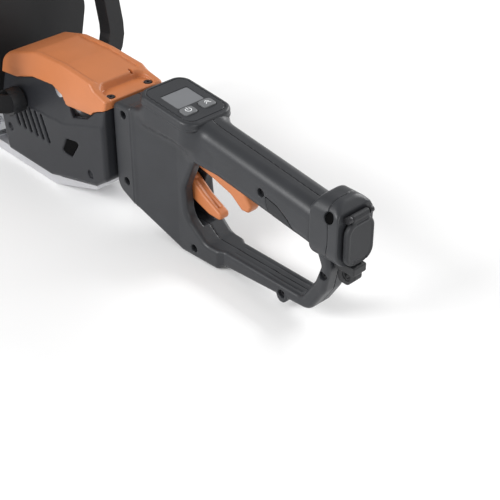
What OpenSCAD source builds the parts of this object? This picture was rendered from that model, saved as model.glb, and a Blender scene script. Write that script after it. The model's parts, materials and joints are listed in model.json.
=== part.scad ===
/* [Rear handle] */
// Length of the rear handle, from the swivel joint to the rear face of the end collar
handle_len = 272; // [271:0.5:274]
// Width of the grip
grip_w = 36; // [35:0.5:38]
// Height of the grip
grip_h = 38; // [37:0.5:40]
// Slope of the grip, down towards the rear, in degrees
grip_tilt = 7; // [6:0.5:7.5]
// Depth of the loop below the swivel axis
loop_depth = 87; // [86:0.5:90]
// Width of the bottom bar of the loop
bar_w = 26; // [24:1:28]
// Wall thickness of the moulded shells
wall = 3; // [2.5:0.25:3.5]

/* [Motor housing] */
// Length of the motor housing
housing_len = 165; // [165:1:175]
// Width of the motor housing
housing_w = 74; // [74:1:78]
// Diameter of the stator
stator_d = 60; // [56:1:62]

/* [Gear train] */
// Teeth on the drive gear
gear_teeth = 56; // [52:1:58]
// Teeth on the pinion
pinion_teeth = 14; // [14:1:15]
// Throw of each eccentric, half of the full blade stroke
throw = 9; // [8:0.5:9]

/* [Blades] */
// Pairs of teeth on each blade
tooth_pairs = 18; // [14:1:20]
// Distance from tooth to tooth
tooth_pitch = 34; // [32:1:36]
// Length of a tooth, outwards from the blade's edge
tooth_len = 27; // [22:1:30]
// Thickness of a blade
blade_t = 2.5; // [2:0.25:2.5]
// Width of the blade between its two rows of teeth
blade_w = 26; // [24:1:30]

/* [Front handle] */
// Width of the front handle, between the tube centres
bail_w = 172; // [160:1:190]
// Height of the front handle's top bar above the swivel axis
bail_h = 118; // [112:1:130]
// Diameter of the front handle tube
bail_d = 18; // [16:1:20]

/* [Hidden] */

$fn = 48;
eps = 0.05;             // overshoot of a cut
fit = 0.05;             // radial clearance of a running fit
gap = 0.4;              // clearance between parts that move past each other
big = 400;              // larger than any part's width

// Places along the tool, with x = 0 at the swivel joint and z = 0 on the swivel axis
ground = loop_depth;    // depth of the face that the tool rests on
motor_x = -74;
gear_module = 1;
gear_x = motor_x - gear_module * (gear_teeth + pinion_teeth) / 2;
housing_rear = -2;
housing_front = housing_rear - housing_len;
blade_start = housing_front - 13;
blade_end = blade_start - tooth_pairs * tooth_pitch - 12;
front_end = blade_end - 34;
cover_t = 5.5;
rear_end = handle_len + gap + cover_t;

// Heights of the stack of blades
bar_top = -73;
lower_z = bar_top + 0.3;
upper_z = lower_z + blade_t + 0.3;
stack_top = upper_z + blade_t + 0.3;

// Eccentrics and the slots that they drive
eccentric_r = 15;
slot_play = 0.6;
shaft_r = 5;
motor_shaft_r = 4;

// Pivots of the rear handle, as [x, z]
trigger_pivot = [86, 10];
lever_pivot = [72, -18];
cover_pivot = [handle_len + 3, 35.5];
pivot_pin_r = 2.5;
lever_w = 10.8;         // width of the trigger and of the release lever
ring_r = 20;
disc_r = 23.3;
disc_t = 1.8;           // thickness of the index disc
index_r = 2.4;          // radius of its holes
lock_z = -19.6;
lock_r = 2;

// Display pod, tilted towards the operator
pod_at = [70, 0, 50];
pod_tilt = 5;
pod_size = [72, 54];
pod_top = 7;
pod_low = -4;
screen = [24, 30];
button = [11, 14];
button_x = 16;
button_y = 10.5;

grip_mid = [177, 24];
collar_start = 241;
collar_z = 17;
collar_size = [43, 58];
socket_z = 12;
socket_r = 12;
socket_depth = 20;
socket_back = handle_len - socket_depth - 4;

function unit(v) = v / norm(v);
function flat(p) = [p.x, p.y];
function arc(centre, r, from, turn, n) =
    [for (i = [0:n]) centre + r * [cos(from + turn * i / n), sin(from + turn * i / n)]];
function corner(a, b, c, r) =
    let (u = unit(a - b), w = unit(c - b), half = acos(u * w) / 2)
    let (centre = b + unit(u + w) * r / sin(half))
    let (start = b + u * r / tan(half) - centre, stop = b + w * r / tan(half) - centre)
    let (from = atan2(start.y, start.x), turn = (atan2(stop.y, stop.x) - from + 540) % 360 - 180)
    arc(centre, r, from, turn, 6);

// Closed outline through [x, y, r] corners, each rounded to its radius r
function outline(pts) =
    let (n = len(pts))
    [for (i = [0:n - 1]) each pts[i].z == 0 ? [flat(pts[i])]
        : corner(flat(pts[(i + n - 1) % n]), flat(pts[i]), flat(pts[(i + 1) % n]), pts[i].z)];

module in_frame() translate([-(rear_end + front_end) / 2, 0, ground]) children();

module box(low, high) translate(low) cube(high - low);

// Turns an [x, z] outline into a plate of the given width, centred on the tool's middle plane
module side(width) translate([0, width / 2, 0]) rotate([90, 0, 0]) linear_extrude(width) children();

// Runs a [y, z] outline along x
module along(x0, x1) translate([x0, 0, 0]) rotate([90, 0, 90]) linear_extrude(x1 - x0) children();

module rod_x(r, x0, x1) translate([x0, 0, 0]) rotate([0, 90, 0]) cylinder(h = x1 - x0, r = r);
module rod_y(r, y0, y1) translate([0, y1, 0]) rotate([90, 0, 0]) cylinder(h = y1 - y0, r = r);
module rod_z(r, z0, z1) translate([0, 0, z0]) cylinder(h = z1 - z0, r = r);

module ring_z(r_out, r_in, z0, z1) {
    difference() {
        rod_z(r_out, z0, z1);
        rod_z(r_in, z0 - eps, z1 + eps);
    }
}

module round_rect(w, h, r) {
    square([w - 2 * r, h], center = true);
    square([w, h - 2 * r], center = true);
    for (x = [-1, 1], y = [-1, 1]) translate([x * (w / 2 - r), y * (h / 2 - r)]) circle(r);
}

// One side of the parting plane, short of it by half the parting gap
module half(sign) {
    near = 0.07;
    translate([-big, sign > 0 ? near : -big - near, -big]) cube([2 * big, big, 2 * big]);
}

// ---------------------------------------------------------------- rear handle

module hand_opening() {
    polygon(outline([[92, 16, 6], [84, -25, 24], [90, -66, 22], [226, -64.5, 8],
        [241, -40, 20], [247, -22, 8], [236, -4, 6]]));
}

module loop_outline() {
    polygon(outline([[0.5, 45, 6], [0.5, -50, 12], [80, -loop_depth, 12], [124, -loop_depth, 4],
        [131, -82, 8], [236, -73.5, 14], [252, -47, 16], [258, -12, 0], [collar_start, -12, 0],
        [collar_start, 20, 0], [100, 40, 0]]));
}

module grip_run(shrink, x0, x1) {
    translate([grip_mid.x, 0, grip_mid.y]) rotate([0, grip_tilt, 0])
        along(x0 - grip_mid.x, x1 - grip_mid.x)
            round_rect(grip_w - 2 * shrink, grip_h - 2 * shrink, 14 - shrink);
}

module grip_end_cut() translate([collar_start, -big / 2, -big / 2]) cube([big, big, big]);

// Top view of the bell, which narrows from the joint to the loop
module bell_plan(shrink) {
    translate([0, 0, -big / 2]) linear_extrude(big) polygon([
        [0, -27 + shrink], [24, -27 + shrink], [74, -17 + shrink], [132, -15 + shrink],
        [132, 15 - shrink], [74, 17 - shrink], [24, 27 - shrink], [0, 27 - shrink]]);
}

module bell() {
    intersection() {
        side(2 * grip_w) loop_outline();
        bell_plan(0);
    }
}

// Hollow of the bell and of the loop's front section
module bell_room() {
    intersection() {
        side(2 * grip_w) polygon(outline([[9, 41, 4], [9, -46, 9], [79, -loop_depth + wall, 8],
            [121, -loop_depth + wall, 2], [118, -71, 5], [94, -71, 14], [80, -54, 14], [80, -22, 10],
            [88, 12, 0], [88, 41, 0]]));
        bell_plan(wall);
    }
}

module bar_room() {
    side(bar_w - 2 * wall) polygon([[137, -77.5], [133, -69.5], [228, -68], [228, -71.5]]);
}

module pod_block(grow) {
    translate(pod_at) rotate([0, pod_tilt, 0])
        translate([0, 0, pod_low]) linear_extrude(pod_top - pod_low + grow)
            round_rect(pod_size.x + 2 * grow, pod_size.y + 2 * grow, 12);
}

module screw_bosses() {
    for (p = handle_screw_places) translate([p.x, 0, p.y]) rod_y(5, -grip_w, grip_w);
}

// Each as [x, z, half length]
handle_screw_places = [[15.5, 34, 22], [15.5, -38.5, 22], [97, -77, 13], [204, -72.5, 12], [183, 21, 16],
    [250, -30, 11]];
screw_r = 2;
screw_head_r = 3.6;

module handle_solid() {
    difference() {
        union() {
            difference() {
                union() {
                    side(bar_w) loop_outline();
                    bell();
                }
                side(big) hand_opening();
            }
            difference() {
                grip_run(0, 92, 260);
                grip_end_cut();
            }
            translate([204, 0, -74]) rod_y(6, -bar_w / 2, bar_w / 2);
        }
        pod_block(0.1);
    }
}

module handle_cavity() {
    difference() {
        union() {
            bell_room();
            bar_room();
            grip_run(wall, 84, 262);
        }
        screw_bosses();
        for (p = [trigger_pivot, lever_pivot], s = [-1, 1])
            translate([p.x, s * 13.5, p.y]) rod_y(5.5, -6, 6);
    }
}

module handle_cuts() {
    // Bore of the swivel joint
    rod_x(ring_r + fit, -1, 10);
    // Slots for the trigger and the lever
    box([77, -7, -12], [161, 7, 20]);
    box([60, -7, -58], [100, 7, -8]);
    // Pin bores
    for (p = [trigger_pivot, lever_pivot])
        translate([p.x, 0, p.y]) rod_y(pivot_pin_r, -15, 15);
    // Screw bores, and the recesses over their heads
    for (p = handle_screw_places) translate([p.x, 0, p.y]) {
        rod_y(screw_r, -p.z + 5, p.z - 3);
        rod_y(screw_head_r, -30, -p.z + 5);
    }
    // Recess in the underside of the loop's front section
    translate([97, 0, -loop_depth - 1]) linear_extrude(6) {
        circle(7);
        translate([8, 0]) circle(4.5);
    }
    // Window behind the display
    box([50, -11, 30], [90, 11, 60]);
    // Seat of the grip insert
    insert_outline(0.05);
}

module insert_outline(grow) {
    translate([grip_mid.x, 0, grip_mid.y]) rotate([0, grip_tilt, 0])
        translate([leaf_mid, 0, -grip_h / 2 - 1]) linear_extrude(2.5)
            leaf(leaf_half + grow, 9 + grow);
}

leaf_mid = 30;          // middle of the insert, along the grip from its own middle
leaf_half = 38;         // half its length

module leaf(half_length, half_width) {
    r = (half_length * half_length + half_width * half_width) / (2 * half_width);
    intersection_for(s = [-1, 1]) translate([0, s * (r - half_width)]) circle(r, $fn = 96);
}

module handle_half(sign) {
    intersection() {
        difference() {
            handle_solid();
            handle_cavity();
            handle_cuts();
        }
        half(sign);
    }
}

module handle_shell_left() color("#45464a") in_frame() handle_half(-1);
module handle_shell_right() color("#45464a") in_frame() handle_half(1);

module grip_insert() {
    color("#333437") in_frame() difference() {
        insert_outline(0);
        translate([grip_mid.x, 0, grip_mid.y]) rotate([0, grip_tilt, 0])
            translate([leaf_mid, 0, -grip_h / 2 - 1.5]) for (x = [-27:9:27])
                translate([x, -20, 0]) cube([2, 40, 1.1]);
    }
}

module handle_screws() {
    color("#2a2a2c") in_frame() for (p = handle_screw_places) translate([p.x, 0, p.y]) {
        difference() {
            rod_y(screw_head_r - 0.2, -p.z + 1.6, -p.z + 5);
            rod_y(1.4, -p.z + 1, -p.z + 3.4, $fn = 6);
        }
        rod_y(screw_r, -p.z + 5, p.z - 3.2);
    }
}

module in_pod() translate(pod_at) rotate([0, pod_tilt, 0]) children();

module pod_bezel() {
    color("#4b4c50") in_frame() difference() {
        pod_block(0);
        in_pod() {
            translate([0, 0, pod_low - eps]) linear_extrude(pod_top - pod_low - 2.2)
                round_rect(pod_size.x - 6, pod_size.y - 6, 9);
            translate([-4, 0, 0]) linear_extrude(20) round_rect(screen.x + 0.2, screen.y + 0.2, 2);
            for (s = [-1, 1]) translate([button_x, s * button_y, 0]) linear_extrude(20)
                round_rect(button.x + 2 * gap, button.y + 2 * gap, 3);
        }
    }
}

module display_window() {
    color("#6e7073") in_frame() in_pod() translate([-4, 0, pod_top - 2.4]) linear_extrude(1.8)
        round_rect(screen.x, screen.y, 1.9);
}

module display_board() {
    color("#20503a") in_frame() in_pod() {
        translate([0, 0, -2.5]) linear_extrude(1.6) round_rect(62, 44, 4);
        translate([-4, 0, -0.9]) linear_extrude(3) square([22, 28], center = true);
        for (s = [-1, 1]) translate([button_x, s * button_y, -0.9]) rod_z(3, 0, 2.2);
    }
}

module push_button(sign) {
    in_pod() translate([button_x, sign * button_y, 0]) {
        translate([0, 0, 3.6]) linear_extrude(5) round_rect(button.x, button.y, 2.6);
        translate([0, 0, 2.6]) linear_extrude(1.2) round_rect(button.x + 3, button.y + 3, 3);
    }
}

module power_button() color("#75777a") in_frame() push_button(-1);
module mode_button() color("#75777a") in_frame() push_button(1);

// ------------------------------------------------------- trigger, lever and lock

module throttle_trigger() {
    color("#d68454") in_frame() difference() {
        union() {
            side(lever_w) difference() {
                polygon(outline([[80, 3, 2], [104, 0, 20], [132, -5, 24], [150, -17, 3],
                    [157, -13, 4], [148, 4, 10], [124, 13, 8], [80, 17, 3]]));
                translate([134, -22]) circle(13);
            }
        }
        translate([trigger_pivot.x, 0, trigger_pivot.y]) rod_y(pivot_pin_r + fit, -10, 10);
    }
}

module release_lever() {
    color("#d68454") in_frame() difference() {
        side(lever_w) polygon(outline([[66, -11, 3], [78, -12, 4], [98, -30, 16], [120, -36, 2],
            [120, -42, 2.5], [98, -43, 10], [80, -36, 10], [66, -26, 4]]));
        translate([lever_pivot.x, 0, lever_pivot.y]) rod_y(pivot_pin_r + fit, -10, 10);
        // Groove along the finger face
        translate([118, 0, -33.5]) rotate([0, 28, 0]) rod_x(2, -26, 6);
    }
}

module pivot_pin(p) translate([p.x, 0, p.y]) rod_y(pivot_pin_r, -15, 15);
module trigger_pin() color("silver") in_frame() pivot_pin(trigger_pivot);
module lever_pin() color("silver") in_frame() pivot_pin(lever_pivot);

// Turn of the torsion spring round a pin, in the space between the lever and the shell
module spring_turn(p) {
    wire_r = 0.5;
    translate([p.x, -6.25, p.y]) rotate([90, 0, 0]) rotate_extrude()
        translate([pivot_pin_r + wire_r + fit, 0]) circle(wire_r, $fn = 16);
}

module trigger_spring() color("silver") in_frame() spring_turn(trigger_pivot);
module lever_spring() color("silver") in_frame() spring_turn(lever_pivot);

module trigger_switch() {
    color("#232325") in_frame() {
        box([112, -8, 24], [142, 8, 38]);
        box([118, -3, 21.5], [124, 3, 24]);
    }
}

module lock_pin() {
    color("silver") in_frame() translate([0, 0, lock_z]) {
        rod_x(lock_r, 10.2 + disc_t + gap, 46);
        rod_x(2 * lock_r, 36, 39);
    }
}

module lock_guide() {
    color("#58595c") in_frame() difference() {
        box([16, -24, lock_z - 5], [24, 24, lock_z + 5]);
        translate([0, 0, lock_z]) rod_x(lock_r + fit, 10, 40);
    }
}

module swivel_ring() {
    color("#b4b4b4") in_frame() difference() {
        union() {
            rod_x(ring_r, housing_rear - wall, 10.2);
            rod_x(disc_r, 10.2, 10.2 + disc_t);
            rod_x(disc_r, housing_rear - 2 * wall, housing_rear - wall);
        }
        rod_x(ring_r - 4, -30, 20);
        // Index holes of the swivel positions, every 45 degrees
        for (a = [-90:45:90]) rotate([a, 0, 0]) translate([0, 0, lock_z]) rod_x(index_r, 9, 13);
    }
}

// ------------------------------------------------------ end collar and power inlet

module end_collar() {
    color("#3b3c3f") in_frame() difference() {
        intersection() {
            translate([0, 0, collar_z]) along(collar_start, handle_len)
                round_rect(collar_size.x, collar_size.y, 17);
            side(60) polygon([[collar_start, 40], [246, 46], [handle_len - 8, 46], [handle_len - 2, 39],
                [handle_len, 33], [handle_len, -12], [collar_start, -12]]);
        }
        translate([0, 0, collar_z]) along(collar_start - 1, socket_back) round_rect(36, 48, 14);
        translate([0, 0, socket_z]) rod_x(16, socket_back - 1, 300);
        // Screw recess on the upper left
        translate([259, -18, 32]) rotate([30, 0, 0]) rod_y(4, -12, 1);
        cover_room();
        hinge_feet();
    }
}

// Feet of the cover's hinge, let into the collar
module hinge_feet() {
    for (s = [-1, 1]) translate([handle_len - 3, s * 12 - 2, cover_pivot.y - 3]) cube([6, 4, 3]);
}

// Notch in the collar for the knuckle of the socket cover
module cover_room() {
    translate([cover_pivot.x, 0, cover_pivot.y]) rod_y(3.6, -9.5, 9.5);
}

module power_socket() {
    color("#1d1d1f") in_frame() translate([0, 0, socket_z]) difference() {
        rod_x(16, socket_back, handle_len - 1);
        rod_x(socket_r, handle_len - socket_depth, 300);
        for (a = [45:90:315]) rotate([a, 0, 0]) translate([0, 0, 7]) rod_x(1.8, socket_back - 1, 270);
    }
}

module socket_contacts() {
    color("#c9a24a") in_frame() translate([0, 0, socket_z])
        for (a = [45:90:315]) rotate([a, 0, 0]) translate([0, 0, 7])
            rod_x(1.8, socket_back - 4, handle_len - socket_depth);
}

module cover_hinge_pin() {
    color("silver") in_frame() {
        translate([cover_pivot.x, 0, cover_pivot.y]) {
            rod_y(1.5, -13, 13);
            for (s = [-1, 1]) translate([0, s * 12, 0]) rod_y(2.9, -2, 2);
        }
        hinge_feet();
    }
}

module socket_cover() {
    color("#2b2c2e") in_frame() difference() {
        union() {
            translate([0, 0, socket_z]) along(handle_len + gap, rear_end) round_rect(28, 41, 11);
            translate([0, 0, socket_z]) rod_x(socket_r - 1, handle_len - 0.7, handle_len + 1);
            translate([cover_pivot.x, 0, cover_pivot.y]) rod_y(2.9, -9, 9);
            translate([handle_len + gap, -9, 29]) cube([4, 18, 6]);
        }
        translate([cover_pivot.x, 0, cover_pivot.y]) rod_y(1.5 + fit, -20, 20);
        // Finger lip recess
        translate([rear_end + 1.5, 0, -6]) rod_y(3, -8, 8);
    }
}

module cable_hook() {
    color("#2b2c2e") in_frame() difference() {
        side(9) polygon(outline([[258.5, -12, 0], [277, -12, 0], [278, -24, 5], [270, -33, 5],
            [260, -33, 5], [258.5, -26, 2]]));
        translate([268.5, 0, -24]) rod_y(3, -20, 20);
    }
}

// ---------------------------------------------------------------- motor housing

module housing_outline() {
    polygon(outline([[housing_rear, 30, 0], [housing_rear, -44, 8], [-22, -58, 12], [-78, -72, 10],
        [-96, -78, 6], [housing_front, -78, 4], [housing_front - 6, -40, 20], [-158, 12, 10],
        [-40, 12, 6], [-22, 30, 6]]));
}

module housing_half(sign) {
    intersection() {
        difference() {
            side(housing_w) housing_outline();
            side(housing_w - 2 * wall) offset(delta = -wall) housing_outline();
            // Open towards the top cover, the base plate and the blades
            box([-150, -housing_w / 2 + wall, 0], [-38, housing_w / 2 - wall, 40]);
            box([-35, -24, 0], [-10, 24, 40]);
            box([housing_front - 20, -33, -100], [-27, 33, -63]);
            // Room for the swivel ring
            rod_x(ring_r, -30, 5);
            // Trapezoid recess on each side
            for (s = [-1, 1]) translate([0, s * housing_w / 2, 0]) side(3)
                polygon(outline([[-39, -15, 2], [-60, -12, 2], [-69, -41, 2], [-54, -40, 2]]));
            for (p = housing_screw_places) translate([p.x, 0, p.y])
                rod_y(4, -housing_w / 2 - 1, -housing_w / 2 + 2.2);
            for (p = housing_screw_places) translate([p.x, 0, p.y])
                rod_y(2, -housing_w / 2, housing_w / 2 - 2);
        }
        half(sign);
    }
}

housing_screw_places = [[-27, -46], [-140, -4], [-160, -48]];

module housing_left() color("#414246") in_frame() housing_half(-1);
module housing_right() color("#414246") in_frame() housing_half(1);

module cover_outline() {
    polygon(outline([[housing_rear, 30.2, 0], [housing_rear, 38, 3], [-20, 38, 6], [-30, 46, 6],
        [-70, 49.5, 40], [-112, 48, 30], [-158, 34, 24], [-166, 12.2, 4], [-40, 12.2, 6],
        [-22.2, 30.2, 6]]));
}

module top_cover() {
    color("#d68454") in_frame() difference() {
        intersection() {
            side(housing_w) cover_outline();
            // Sides that lean in towards the top
            along(-200, 0) polygon([[-37, 5], [37, 5], [37, 26], [31, 60], [-31, 60], [-37, 26]]);
        }
        intersection() {
            side(housing_w - 2 * wall) offset(delta = -wall) cover_outline();
            along(-200, 0) polygon([[-34, 0], [34, 0], [34, 25], [28, 60], [-28, 60], [-34, 25]]);
        }
        translate([-155, -34, 0]) cube([116, 68, 20]);
        // Shallow channel along the top, between the two side ridges
        translate([-104, -21, 47]) cube([72, 42, 10]);
        for (s = [-1, 1]) translate([cover_screw.x, s * cover_screw.y, 0]) {
            rod_z(2, 20, 50);
            rod_z(screw_head_r + 0.2, 36.4, 50);
        }
    }
}

cover_screw = [-8, 21.5];

module cover_screws() {
    color("#2a2a2c") in_frame() for (s = [-1, 1])
            translate([cover_screw.x, s * cover_screw.y, 0]) difference() {
        union() {
            rod_z(screw_head_r, 36.4, 37.8);
            rod_z(2, 31, 36.4);
        }
        rod_z(1.4, 37, 41, $fn = 6);
    }
}

module base_outline() {
    polygon(outline([[-24, -59, 0], [-24, -63, 2], [-78, -81.5, 0], [-94, -ground, 10],
        [-228, -ground, 8], [-240, -77, 0], [-98, -77, 0], [-79, -73.5, 0]]));
}

module base_plate() {
    color("#b4b4b4") in_frame() difference() {
        intersection() {
            side(66) base_outline();
            translate([0, 0, -120]) linear_extrude(100) polygon(outline([[-20, -33, 4], [-200, -33, 30],
                [-242, -18, 6], [-242, 18, 6], [-200, 33, 30], [-20, 33, 4]]));
        }
        // Seat of the lower gear bearing
        translate([gear_x, 0, 0]) rod_z(8, -83, -70);
        for (p = base_screw_places) translate([p.x, p.y, 0]) {
            rod_z(2.6, -90, -60);
            rod_z(5, -90, -ground + 3.4);
        }
    }
}

base_screw_places = [[-106, -28], [-106, 28], [-155, -28], [-155, 28], [-150, 0], [-214, 0]];

module base_screws() {
    color("#2a2a2c") in_frame() for (p = base_screw_places) translate([p.x, p.y, 0]) difference() {
        union() {
            rod_z(4.6, -ground + 0.4, -ground + 3.4);
            rod_z(2.6, -ground + 3.4, p.y == 0 ? bar_top : -77);
        }
        rod_z(1.8, -ground, -ground + 2.2, $fn = 6);
    }
}

// ------------------------------------------------------------------------ motor

slots = 12;
air_gap = 0.6;
rotor_r = 19;
stator_low = -28;
stator_high = 4;

module stator_core() {
    color("#8c8c90") in_frame() translate([motor_x, 0, 0]) {
        ring_z(stator_d / 2, stator_d / 2 - 5, stator_low, stator_high);
        for (i = [0:slots - 1]) rotate([0, 0, i * 360 / slots])
            translate([0, 0, stator_low]) linear_extrude(stator_high - stator_low)
                polygon([[rotor_r + air_gap, -4], [rotor_r + air_gap, 4], [rotor_r + 1.8, 4],
                    [rotor_r + 1.8, 1.6], [stator_d / 2 - 4.5, 1.6], [stator_d / 2 - 4.5, -1.6],
                    [rotor_r + 1.8, -1.6], [rotor_r + 1.8, -4]]);
    }
}

module stator_windings() {
    color("#a4552c") in_frame() translate([motor_x, 0, 0]) for (i = [0:slots - 1])
        rotate([0, 0, i * 360 / slots]) difference() {
            translate([rotor_r + 2, -3.6, stator_low - 2.4])
                cube([3.4, 7.2, stator_high - stator_low + 4.8]);
            translate([rotor_r, -1.7, stator_low - 0.1])
                cube([9, 3.4, stator_high - stator_low + 0.2]);
        }
}

module rotor_core() {
    color("#77787c") in_frame() translate([motor_x, 0, 0]) difference() {
        rod_z(rotor_r - 3, stator_low + 1, stator_high - 1);
        rod_z(motor_shaft_r, -50, 30);
        for (a = [0:60:300]) rotate([0, 0, a]) translate([10, 0, 0]) rod_z(2.4, -50, 30);
    }
}

module rotor_magnets() {
    color("#5a5b60") in_frame() translate([motor_x, 0, 0]) for (i = [0:7]) rotate([0, 0, i * 45])
        intersection() {
            ring_z(rotor_r, rotor_r - 3, stator_low + 1, stator_high - 1);
            translate([0, 0, -60]) linear_extrude(100)
                polygon([[0, 0], [40 * cos(21), -40 * sin(21)], [40 * cos(21), 40 * sin(21)]]);
        }
}

module motor_shaft() {
    color("silver") in_frame() translate([motor_x, 0, 0]) rod_z(motor_shaft_r, -63, 25);
}

module bearing(r_in, r_out, z0, z1) {
    ring_z(r_in + 1.4, r_in + fit, z0, z1);
    ring_z(r_out, r_out - 1.4, z0, z1);
    ring_z(r_out - 1.4, r_in + 1.4, z0 + 0.6, z1 - 0.6);
}

module motor_bearings() {
    color("#c8c8ca") in_frame() translate([motor_x, 0, 0]) {
        bearing(motor_shaft_r, 9, -40, -34);
        bearing(motor_shaft_r, 9, 18, 24);
    }
}

module end_shield() {
    ring_in = stator_d / 2 + 0.2;
    color("#b4b4b4") in_frame() translate([motor_x, 0, 0]) difference() {
        union() {
            ring_z(13, 9, 17.5, 25);
            ring_z(ring_in + 2, ring_in, -6, 23);
            for (a = [30:60:330]) rotate([0, 0, a]) translate([12, -2, 18.5])
                cube([ring_in - 11, 4, 3.2]);
        }
        for (a = [0:60:300]) rotate([0, 0, a]) translate([ring_in - 3, -7, 9]) cube([8, 14, 8]);
    }
}

module motor_fan() {
    color("#2f3033") in_frame() translate([motor_x, 0, 0]) {
        ring_z(7, motor_shaft_r, 8, 16);
        ring_z(26, 6.5, 8, 9.5);
        for (i = [0:10]) rotate([0, 0, i * 360 / 11]) translate([8, -0.7, 9]) rotate([0, 0, 22])
            cube([16, 1.4, 6.5]);
    }
}

module controller_board() {
    color("#20503a") in_frame() {
        translate([-152, -26, -24]) cube([38, 52, 1.6]);
        for (i = [-2:2]) translate([-148, i * 9 - 3, -22.4]) cube([8, 6, 5]);
        for (s = [-1, 1]) translate([-124, s * 14, 0]) rod_z(6, -22.4, -4);
        translate([-136, -4, -22.4]) cube([9, 9, 2]);
    }
}

// -------------------------------------------------------------------- gear train

pressure_angle = 25;
tooth_top = 0.8;
tooth_root = 1.05;
backlash = 0.16;

function involute(base, angle) =
    base * [cos(angle) + angle * PI / 180 * sin(angle), sin(angle) - angle * PI / 180 * cos(angle)];
function turned(p, a) = [p.x * cos(a) - p.y * sin(a), p.x * sin(a) + p.y * cos(a)];

// Outline of an involute spur gear
function gear_outline(teeth) =
    let (r = gear_module * teeth / 2, base = r * cos(pressure_angle), tip = r + tooth_top * gear_module)
    let (root = r - tooth_root * gear_module, steps = 4)
    let (at_pitch = tan(pressure_angle) * 180 / PI, at_tip = sqrt(pow(tip / base, 2) - 1) * 180 / PI)
    let (half_angle = 90 / teeth - backlash / 2 / r * 180 / PI + at_pitch - pressure_angle)
    let (flank = [for (i = [0:steps]) turned(involute(base, at_tip * i / steps), -half_angle)])
    [for (k = [0:teeth - 1]) each [for (p = concat(
        root < base ? [turned([root, 0], -half_angle)] : [], flank,
        [for (i = [steps:-1:0]) [flank[i].x, -flank[i].y]],
        root < base ? [turned([root, 0], half_angle)] : []))
        turned(p, k * 360 / teeth)]];

module drive_gear() {
    color("#9a9b9f") in_frame() translate([gear_x, 0, 0]) difference() {
        union() {
            translate([0, 0, -60]) linear_extrude(8) polygon(gear_outline(gear_teeth));
            rod_z(10, -62, -50);
        }
        rod_z(shaft_r, -80, -30);
        for (a = [0:60:300]) rotate([0, 0, a]) translate([17, 0, 0]) rod_z(4, -70, -40);
    }
}

module pinion() {
    color("#c0c0c4") in_frame() translate([motor_x, 0, 0]) rotate([0, 0, 180 + 180 / pinion_teeth])
        difference() {
            translate([0, 0, -61]) linear_extrude(10) polygon(gear_outline(pinion_teeth));
            rod_z(motor_shaft_r, -80, -30);
        }
}

module gear_shaft() {
    color("silver") in_frame() translate([gear_x, 0, 0]) rod_z(shaft_r, -82, -39);
}

module eccentrics() {
    color("#8a8b8f") in_frame() translate([gear_x, 0, 0]) difference() {
        union() {
            translate([0, throw, 0]) rod_z(eccentric_r, lower_z - 0.1, upper_z - 0.15);
            translate([0, -throw, 0]) rod_z(eccentric_r, upper_z - 0.15, stack_top);
            rod_z(10, stack_top, -62);
        }
        rod_z(shaft_r, -90, -30);
    }
}

module gear_bearings() {
    color("#c8c8ca") in_frame() translate([gear_x, 0, 0]) {
        bearing(shaft_r, 11, -46, -39);
        bearing(shaft_r, 8, -82.8, -77.2);
    }
}

module gear_case_plan(grow) {
    translate([gear_x, 0]) circle(29.6 + grow);
    translate([motor_x, 0]) circle(12 + grow);
    translate([gear_x, -12 - grow]) square([motor_x - gear_x, 24 + 2 * grow]);
}

module gear_case() {
    color("#a8a9ac") in_frame() difference() {
        union() {
            translate([0, 0, -64]) linear_extrude(26) gear_case_plan(3);
            translate([motor_x, 0, 0]) rod_z(stator_d / 2, -40, -33);
            translate([motor_x, 0, 0]) ring_z(stator_d / 2, stator_d / 2 - 3, -34, -28.2);
            for (p = case_screw_places) translate([p.x, p.y, 0]) rod_z(4.5, -64, -38);
        }
        translate([0, 0, -64.1]) linear_extrude(17) gear_case_plan(0);
        translate([motor_x, 0, 0]) {
            rod_z(9, -40, -30);
            rod_z(6, -60, -20);
        }
        translate([gear_x, 0, 0]) {
            rod_z(11, -50, -39);
            rod_z(6.5, -50, -30);
        }
        for (p = case_screw_places) translate([p.x, p.y, 0]) rod_z(2, -70, -30);
        translate([gear_x - 20, 0, 0]) rod_z(4, -50, -30);
    }
}

case_screw_places = [for (a = [130, 180, 230]) [gear_x + 33 * cos(a), 33 * sin(a)]];

module gear_case_screws() {
    color("#2a2a2c") in_frame() for (p = case_screw_places) translate([p.x, p.y, 0]) difference() {
        union() {
            rod_z(3.6, -38, -35);
            rod_z(2, -62, -38);
        }
        rod_z(1.4, -36.5, -34, $fn = 6);
    }
}

module grease_plug() {
    color("#c9a24a") in_frame() translate([gear_x - 20, 0, 0]) {
        rod_z(4, -47, -38);
        rod_z(5.5, -38, -35.5, $fn = 6);
    }
}

// ------------------------------------------------------------------------ blades

bolt_count = 5;
bolt_r = 4;
first_bolt = -258;
last_bolt = blade_start - tooth_pairs * tooth_pitch + 30;
function bolt_x(i) = first_bolt + i * (last_bolt - first_bolt) / (bolt_count - 1);
travel = throw + 0.2;

module blade_plan() {
    edge = blade_w / 2;
    difference() {
        union() {
            translate([blade_end + travel + 2, -edge]) square([gear_x - 10 - blade_end - travel - 2, blade_w]);
            // Head with the cross slot that the eccentric drives
            translate([gear_x, 0]) round_rect(2 * (eccentric_r + slot_play) + 10, 62, 8);
            for (i = [0:tooth_pairs - 1], s = [-1, 1])
                translate([blade_start - (i + 0.5) * tooth_pitch, 0]) rotate(90 - 90 * s)
                    polygon([[-9, edge - 2], [9, edge - 2], [3.5, edge + tooth_len],
                        [-3.5, edge + tooth_len]]);
        }
        translate([gear_x, 0]) round_rect(2 * (eccentric_r + slot_play),
            2 * (eccentric_r + throw + slot_play), 6);
        for (i = [0:bolt_count - 1]) translate([bolt_x(i), 0])
            round_rect(2 * (bolt_r + travel + gap), 2 * (bolt_r + gap), bolt_r + gap - 0.01);
    }
}

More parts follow.
